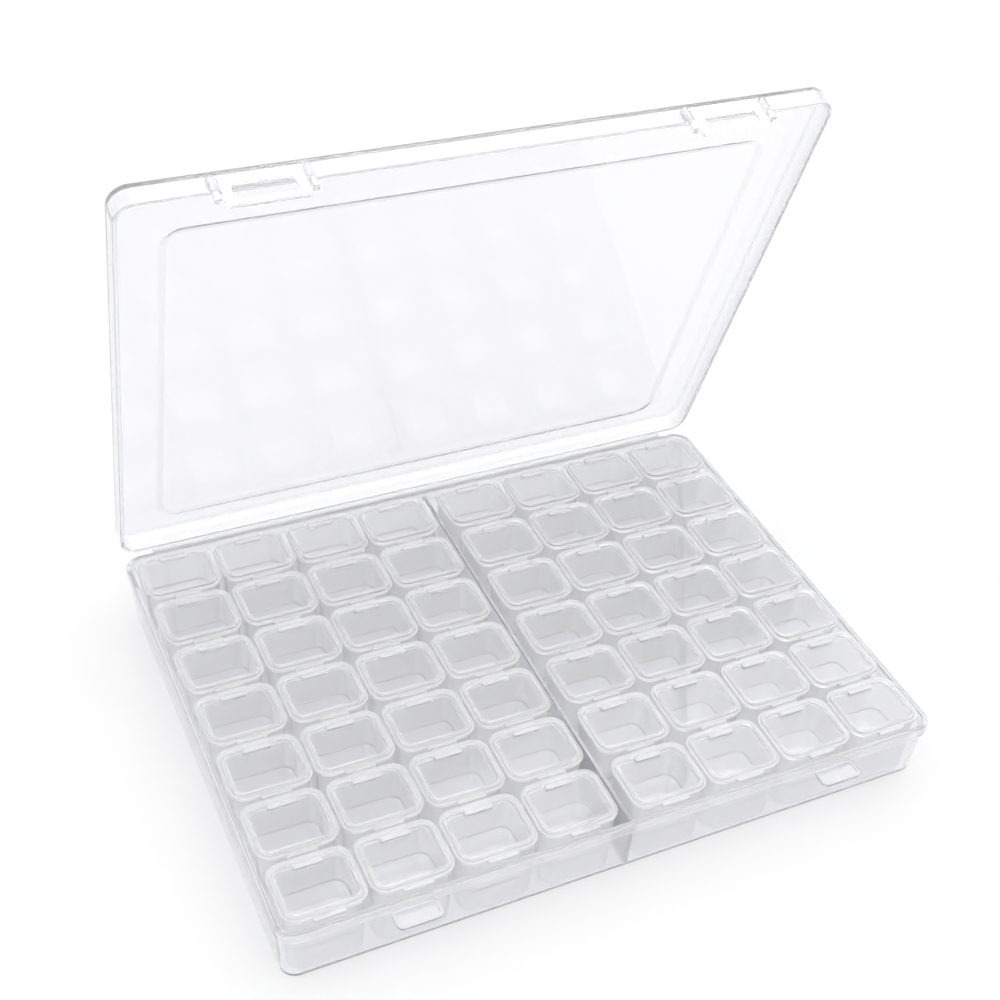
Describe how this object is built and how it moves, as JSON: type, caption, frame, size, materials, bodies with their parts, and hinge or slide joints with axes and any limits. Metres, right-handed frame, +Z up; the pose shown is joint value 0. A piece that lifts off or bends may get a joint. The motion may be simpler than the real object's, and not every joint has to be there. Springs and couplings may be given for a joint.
{
  "type": "bead storage box",
  "caption": "Clear hinged case with snap latches that holds two banks of small containers, each with its own flip lid.",
  "frame": {"origin": "centre of the case's underside, on the surface it stands on", "axes": "+X to the right along the latches' edge, +Y from the latches to the hinge, +Z up"},
  "size_m": [0.2086, 0.1725, 0.1763],
  "materials": {
    "clear_case": "clear gloss",
    "container_plastic": "milky translucent",
    "flip_lid_plastic": "milky translucent"
  },
  "bodies": {
    "base": {"case_base": "clear_case", "case_hinge": "clear_case", "containers": "container_plastic"},
    "lid": {"case_lid": "clear_case"},
    "flip_r1_c1": {"flip_lid_r1_c1": "flip_lid_plastic"},
    "flip_r1_c2": {"flip_lid_r1_c2": "flip_lid_plastic"},
    "flip_r1_c3": {"flip_lid_r1_c3": "flip_lid_plastic"},
    "flip_r1_c4": {"flip_lid_r1_c4": "flip_lid_plastic"},
    "flip_r1_c5": {"flip_lid_r1_c5": "flip_lid_plastic"},
    "flip_r1_c6": {"flip_lid_r1_c6": "flip_lid_plastic"},
    "flip_r1_c7": {"flip_lid_r1_c7": "flip_lid_plastic"},
    "flip_r1_c8": {"flip_lid_r1_c8": "flip_lid_plastic"},
    "flip_r2_c1": {"flip_lid_r2_c1": "flip_lid_plastic"},
    "flip_r2_c2": {"flip_lid_r2_c2": "flip_lid_plastic"},
    "flip_r2_c3": {"flip_lid_r2_c3": "flip_lid_plastic"},
    "flip_r2_c4": {"flip_lid_r2_c4": "flip_lid_plastic"},
    "flip_r2_c5": {"flip_lid_r2_c5": "flip_lid_plastic"},
    "flip_r2_c6": {"flip_lid_r2_c6": "flip_lid_plastic"},
    "flip_r2_c7": {"flip_lid_r2_c7": "flip_lid_plastic"},
    "flip_r2_c8": {"flip_lid_r2_c8": "flip_lid_plastic"},
    "flip_r3_c1": {"flip_lid_r3_c1": "flip_lid_plastic"},
    "flip_r3_c2": {"flip_lid_r3_c2": "flip_lid_plastic"},
    "flip_r3_c3": {"flip_lid_r3_c3": "flip_lid_plastic"},
    "flip_r3_c4": {"flip_lid_r3_c4": "flip_lid_plastic"},
    "flip_r3_c5": {"flip_lid_r3_c5": "flip_lid_plastic"},
    "flip_r3_c6": {"flip_lid_r3_c6": "flip_lid_plastic"},
    "flip_r3_c7": {"flip_lid_r3_c7": "flip_lid_plastic"},
    "flip_r3_c8": {"flip_lid_r3_c8": "flip_lid_plastic"},
    "flip_r4_c1": {"flip_lid_r4_c1": "flip_lid_plastic"},
    "flip_r4_c2": {"flip_lid_r4_c2": "flip_lid_plastic"},
    "flip_r4_c3": {"flip_lid_r4_c3": "flip_lid_plastic"},
    "flip_r4_c4": {"flip_lid_r4_c4": "flip_lid_plastic"},
    "flip_r4_c5": {"flip_lid_r4_c5": "flip_lid_plastic"},
    "flip_r4_c6": {"flip_lid_r4_c6": "flip_lid_plastic"},
    "flip_r4_c7": {"flip_lid_r4_c7": "flip_lid_plastic"},
    "flip_r4_c8": {"flip_lid_r4_c8": "flip_lid_plastic"},
    "flip_r5_c1": {"flip_lid_r5_c1": "flip_lid_plastic"},
    "flip_r5_c2": {"flip_lid_r5_c2": "flip_lid_plastic"},
    "flip_r5_c3": {"flip_lid_r5_c3": "flip_lid_plastic"},
    "flip_r5_c4": {"flip_lid_r5_c4": "flip_lid_plastic"},
    "flip_r5_c5": {"flip_lid_r5_c5": "flip_lid_plastic"},
    "flip_r5_c6": {"flip_lid_r5_c6": "flip_lid_plastic"},
    "flip_r5_c7": {"flip_lid_r5_c7": "flip_lid_plastic"},
    "flip_r5_c8": {"flip_lid_r5_c8": "flip_lid_plastic"},
    "flip_r6_c1": {"flip_lid_r6_c1": "flip_lid_plastic"},
    "flip_r6_c2": {"flip_lid_r6_c2": "flip_lid_plastic"},
    "flip_r6_c3": {"flip_lid_r6_c3": "flip_lid_plastic"},
    "flip_r6_c4": {"flip_lid_r6_c4": "flip_lid_plastic"},
    "flip_r6_c5": {"flip_lid_r6_c5": "flip_lid_plastic"},
    "flip_r6_c6": {"flip_lid_r6_c6": "flip_lid_plastic"},
    "flip_r6_c7": {"flip_lid_r6_c7": "flip_lid_plastic"},
    "flip_r6_c8": {"flip_lid_r6_c8": "flip_lid_plastic"},
    "flip_r7_c1": {"flip_lid_r7_c1": "flip_lid_plastic"},
    "flip_r7_c2": {"flip_lid_r7_c2": "flip_lid_plastic"},
    "flip_r7_c3": {"flip_lid_r7_c3": "flip_lid_plastic"},
    "flip_r7_c4": {"flip_lid_r7_c4": "flip_lid_plastic"},
    "flip_r7_c5": {"flip_lid_r7_c5": "flip_lid_plastic"},
    "flip_r7_c6": {"flip_lid_r7_c6": "flip_lid_plastic"},
    "flip_r7_c7": {"flip_lid_r7_c7": "flip_lid_plastic"},
    "flip_r7_c8": {"flip_lid_r7_c8": "flip_lid_plastic"}
  },
  "joints": [
    {"name": "case_lid_hinge", "type": "hinge", "parent": "base", "child": "lid", "pos_m": [0, 0.0802, 0.0213], "axis": [-1, 0, 0], "range_deg": [-72, 108]},
    {"name": "flip_r1_c1_hinge", "type": "hinge", "parent": "base", "child": "flip_r1_c1", "pos_m": [-0.0895, -0.0558, 0.02265], "axis": [-1, 0, 0], "range_deg": [0, 105]},
    {"name": "flip_r1_c2_hinge", "type": "hinge", "parent": "base", "child": "flip_r1_c2", "pos_m": [-0.0645, -0.0558, 0.02265], "axis": [-1, 0, 0], "range_deg": [0, 105]},
    {"name": "flip_r1_c3_hinge", "type": "hinge", "parent": "base", "child": "flip_r1_c3", "pos_m": [-0.0395, -0.0558, 0.02265], "axis": [-1, 0, 0], "range_deg": [0, 105]},
    {"name": "flip_r1_c4_hinge", "type": "hinge", "parent": "base", "child": "flip_r1_c4", "pos_m": [-0.0145, -0.0558, 0.02265], "axis": [-1, 0, 0], "range_deg": [0, 105]},
    {"name": "flip_r1_c5_hinge", "type": "hinge", "parent": "base", "child": "flip_r1_c5", "pos_m": [0.0145, -0.0558, 0.02265], "axis": [-1, 0, 0], "range_deg": [0, 105]},
    {"name": "flip_r1_c6_hinge", "type": "hinge", "parent": "base", "child": "flip_r1_c6", "pos_m": [0.0395, -0.0558, 0.02265], "axis": [-1, 0, 0], "range_deg": [0, 105]},
    {"name": "flip_r1_c7_hinge", "type": "hinge", "parent": "base", "child": "flip_r1_c7", "pos_m": [0.0645, -0.0558, 0.02265], "axis": [-1, 0, 0], "range_deg": [0, 105]},
    {"name": "flip_r1_c8_hinge", "type": "hinge", "parent": "base", "child": "flip_r1_c8", "pos_m": [0.0895, -0.0558, 0.02265], "axis": [-1, 0, 0], "range_deg": [0, 105]},
    {"name": "flip_r2_c1_hinge", "type": "hinge", "parent": "base", "child": "flip_r2_c1", "pos_m": [-0.0895, -0.0338, 0.02265], "axis": [-1, 0, 0], "range_deg": [0, 105]},
    {"name": "flip_r2_c2_hinge", "type": "hinge", "parent": "base", "child": "flip_r2_c2", "pos_m": [-0.0645, -0.0338, 0.02265], "axis": [-1, 0, 0], "range_deg": [0, 105]},
    {"name": "flip_r2_c3_hinge", "type": "hinge", "parent": "base", "child": "flip_r2_c3", "pos_m": [-0.0395, -0.0338, 0.02265], "axis": [-1, 0, 0], "range_deg": [0, 105]},
    {"name": "flip_r2_c4_hinge", "type": "hinge", "parent": "base", "child": "flip_r2_c4", "pos_m": [-0.0145, -0.0338, 0.02265], "axis": [-1, 0, 0], "range_deg": [0, 105]},
    {"name": "flip_r2_c5_hinge", "type": "hinge", "parent": "base", "child": "flip_r2_c5", "pos_m": [0.0145, -0.0338, 0.02265], "axis": [-1, 0, 0], "range_deg": [0, 105]},
    {"name": "flip_r2_c6_hinge", "type": "hinge", "parent": "base", "child": "flip_r2_c6", "pos_m": [0.0395, -0.0338, 0.02265], "axis": [-1, 0, 0], "range_deg": [0, 105]},
    {"name": "flip_r2_c7_hinge", "type": "hinge", "parent": "base", "child": "flip_r2_c7", "pos_m": [0.0645, -0.0338, 0.02265], "axis": [-1, 0, 0], "range_deg": [0, 105]},
    {"name": "flip_r2_c8_hinge", "type": "hinge", "parent": "base", "child": "flip_r2_c8", "pos_m": [0.0895, -0.0338, 0.02265], "axis": [-1, 0, 0], "range_deg": [0, 105]},
    {"name": "flip_r3_c1_hinge", "type": "hinge", "parent": "base", "child": "flip_r3_c1", "pos_m": [-0.0895, -0.0118, 0.02265], "axis": [-1, 0, 0], "range_deg": [0, 105]},
    {"name": "flip_r3_c2_hinge", "type": "hinge", "parent": "base", "child": "flip_r3_c2", "pos_m": [-0.0645, -0.0118, 0.02265], "axis": [-1, 0, 0], "range_deg": [0, 105]},
    {"name": "flip_r3_c3_hinge", "type": "hinge", "parent": "base", "child": "flip_r3_c3", "pos_m": [-0.0395, -0.0118, 0.02265], "axis": [-1, 0, 0], "range_deg": [0, 105]},
    {"name": "flip_r3_c4_hinge", "type": "hinge", "parent": "base", "child": "flip_r3_c4", "pos_m": [-0.0145, -0.0118, 0.02265], "axis": [-1, 0, 0], "range_deg": [0, 105]},
    {"name": "flip_r3_c5_hinge", "type": "hinge", "parent": "base", "child": "flip_r3_c5", "pos_m": [0.0145, -0.0118, 0.02265], "axis": [-1, 0, 0], "range_deg": [0, 105]},
    {"name": "flip_r3_c6_hinge", "type": "hinge", "parent": "base", "child": "flip_r3_c6", "pos_m": [0.0395, -0.0118, 0.02265], "axis": [-1, 0, 0], "range_deg": [0, 105]},
    {"name": "flip_r3_c7_hinge", "type": "hinge", "parent": "base", "child": "flip_r3_c7", "pos_m": [0.0645, -0.0118, 0.02265], "axis": [-1, 0, 0], "range_deg": [0, 105]},
    {"name": "flip_r3_c8_hinge", "type": "hinge", "parent": "base", "child": "flip_r3_c8", "pos_m": [0.0895, -0.0118, 0.02265], "axis": [-1, 0, 0], "range_deg": [0, 105]},
    {"name": "flip_r4_c1_hinge", "type": "hinge", "parent": "base", "child": "flip_r4_c1", "pos_m": [-0.0895, 0.0102, 0.02265], "axis": [-1, 0, 0], "range_deg": [0, 105]},
    {"name": "flip_r4_c2_hinge", "type": "hinge", "parent": "base", "child": "flip_r4_c2", "pos_m": [-0.0645, 0.0102, 0.02265], "axis": [-1, 0, 0], "range_deg": [0, 105]},
    {"name": "flip_r4_c3_hinge", "type": "hinge", "parent": "base", "child": "flip_r4_c3", "pos_m": [-0.0395, 0.0102, 0.02265], "axis": [-1, 0, 0], "range_deg": [0, 105]},
    {"name": "flip_r4_c4_hinge", "type": "hinge", "parent": "base", "child": "flip_r4_c4", "pos_m": [-0.0145, 0.0102, 0.02265], "axis": [-1, 0, 0], "range_deg": [0, 105]},
    {"name": "flip_r4_c5_hinge", "type": "hinge", "parent": "base", "child": "flip_r4_c5", "pos_m": [0.0145, 0.0102, 0.02265], "axis": [-1, 0, 0], "range_deg": [0, 105]},
    {"name": "flip_r4_c6_hinge", "type": "hinge", "parent": "base", "child": "flip_r4_c6", "pos_m": [0.0395, 0.0102, 0.02265], "axis": [-1, 0, 0], "range_deg": [0, 105]},
    {"name": "flip_r4_c7_hinge", "type": "hinge", "parent": "base", "child": "flip_r4_c7", "pos_m": [0.0645, 0.0102, 0.02265], "axis": [-1, 0, 0], "range_deg": [0, 105]},
    {"name": "flip_r4_c8_hinge", "type": "hinge", "parent": "base", "child": "flip_r4_c8", "pos_m": [0.0895, 0.0102, 0.02265], "axis": [-1, 0, 0], "range_deg": [0, 105]},
    {"name": "flip_r5_c1_hinge", "type": "hinge", "parent": "base", "child": "flip_r5_c1", "pos_m": [-0.0895, 0.0322, 0.02265], "axis": [-1, 0, 0], "range_deg": [0, 105]},
    {"name": "flip_r5_c2_hinge", "type": "hinge", "parent": "base", "child": "flip_r5_c2", "pos_m": [-0.0645, 0.0322, 0.02265], "axis": [-1, 0, 0], "range_deg": [0, 105]},
    {"name": "flip_r5_c3_hinge", "type": "hinge", "parent": "base", "child": "flip_r5_c3", "pos_m": [-0.0395, 0.0322, 0.02265], "axis": [-1, 0, 0], "range_deg": [0, 105]},
    {"name": "flip_r5_c4_hinge", "type": "hinge", "parent": "base", "child": "flip_r5_c4", "pos_m": [-0.0145, 0.0322, 0.02265], "axis": [-1, 0, 0], "range_deg": [0, 105]},
    {"name": "flip_r5_c5_hinge", "type": "hinge", "parent": "base", "child": "flip_r5_c5", "pos_m": [0.0145, 0.0322, 0.02265], "axis": [-1, 0, 0], "range_deg": [0, 105]},
    {"name": "flip_r5_c6_hinge", "type": "hinge", "parent": "base", "child": "flip_r5_c6", "pos_m": [0.0395, 0.0322, 0.02265], "axis": [-1, 0, 0], "range_deg": [0, 105]},
    {"name": "flip_r5_c7_hinge", "type": "hinge", "parent": "base", "child": "flip_r5_c7", "pos_m": [0.0645, 0.0322, 0.02265], "axis": [-1, 0, 0], "range_deg": [0, 105]},
    {"name": "flip_r5_c8_hinge", "type": "hinge", "parent": "base", "child": "flip_r5_c8", "pos_m": [0.0895, 0.0322, 0.02265], "axis": [-1, 0, 0], "range_deg": [0, 105]},
    {"name": "flip_r6_c1_hinge", "type": "hinge", "parent": "base", "child": "flip_r6_c1", "pos_m": [-0.0895, 0.0542, 0.02265], "axis": [-1, 0, 0], "range_deg": [0, 105]},
    {"name": "flip_r6_c2_hinge", "type": "hinge", "parent": "base", "child": "flip_r6_c2", "pos_m": [-0.0645, 0.0542, 0.02265], "axis": [-1, 0, 0], "range_deg": [0, 105]},
    {"name": "flip_r6_c3_hinge", "type": "hinge", "parent": "base", "child": "flip_r6_c3", "pos_m": [-0.0395, 0.0542, 0.02265], "axis": [-1, 0, 0], "range_deg": [0, 105]},
    {"name": "flip_r6_c4_hinge", "type": "hinge", "parent": "base", "child": "flip_r6_c4", "pos_m": [-0.0145, 0.0542, 0.02265], "axis": [-1, 0, 0], "range_deg": [0, 105]},
    {"name": "flip_r6_c5_hinge", "type": "hinge", "parent": "base", "child": "flip_r6_c5", "pos_m": [0.0145, 0.0542, 0.02265], "axis": [-1, 0, 0], "range_deg": [0, 105]},
    {"name": "flip_r6_c6_hinge", "type": "hinge", "parent": "base", "child": "flip_r6_c6", "pos_m": [0.0395, 0.0542, 0.02265], "axis": [-1, 0, 0], "range_deg": [0, 105]},
    {"name": "flip_r6_c7_hinge", "type": "hinge", "parent": "base", "child": "flip_r6_c7", "pos_m": [0.0645, 0.0542, 0.02265], "axis": [-1, 0, 0], "range_deg": [0, 105]},
    {"name": "flip_r6_c8_hinge", "type": "hinge", "parent": "base", "child": "flip_r6_c8", "pos_m": [0.0895, 0.0542, 0.02265], "axis": [-1, 0, 0], "range_deg": [0, 105]},
    {"name": "flip_r7_c1_hinge", "type": "hinge", "parent": "base", "child": "flip_r7_c1", "pos_m": [-0.0895, 0.0762, 0.02265], "axis": [-1, 0, 0], "range_deg": [0, 90]},
    {"name": "flip_r7_c2_hinge", "type": "hinge", "parent": "base", "child": "flip_r7_c2", "pos_m": [-0.0645, 0.0762, 0.02265], "axis": [-1, 0, 0], "range_deg": [0, 90]},
    {"name": "flip_r7_c3_hinge", "type": "hinge", "parent": "base", "child": "flip_r7_c3", "pos_m": [-0.0395, 0.0762, 0.02265], "axis": [-1, 0, 0], "range_deg": [0, 90]},
    {"name": "flip_r7_c4_hinge", "type": "hinge", "parent": "base", "child": "flip_r7_c4", "pos_m": [-0.0145, 0.0762, 0.02265], "axis": [-1, 0, 0], "range_deg": [0, 90]},
    {"name": "flip_r7_c5_hinge", "type": "hinge", "parent": "base", "child": "flip_r7_c5", "pos_m": [0.0145, 0.0762, 0.02265], "axis": [-1, 0, 0], "range_deg": [0, 90]},
    {"name": "flip_r7_c6_hinge", "type": "hinge", "parent": "base", "child": "flip_r7_c6", "pos_m": [0.0395, 0.0762, 0.02265], "axis": [-1, 0, 0], "range_deg": [0, 90]},
    {"name": "flip_r7_c7_hinge", "type": "hinge", "parent": "base", "child": "flip_r7_c7", "pos_m": [0.0645, 0.0762, 0.02265], "axis": [-1, 0, 0], "range_deg": [0, 90]},
    {"name": "flip_r7_c8_hinge", "type": "hinge", "parent": "base", "child": "flip_r7_c8", "pos_m": [0.0895, 0.0762, 0.02265], "axis": [-1, 0, 0], "range_deg": [0, 90]}
  ]
}
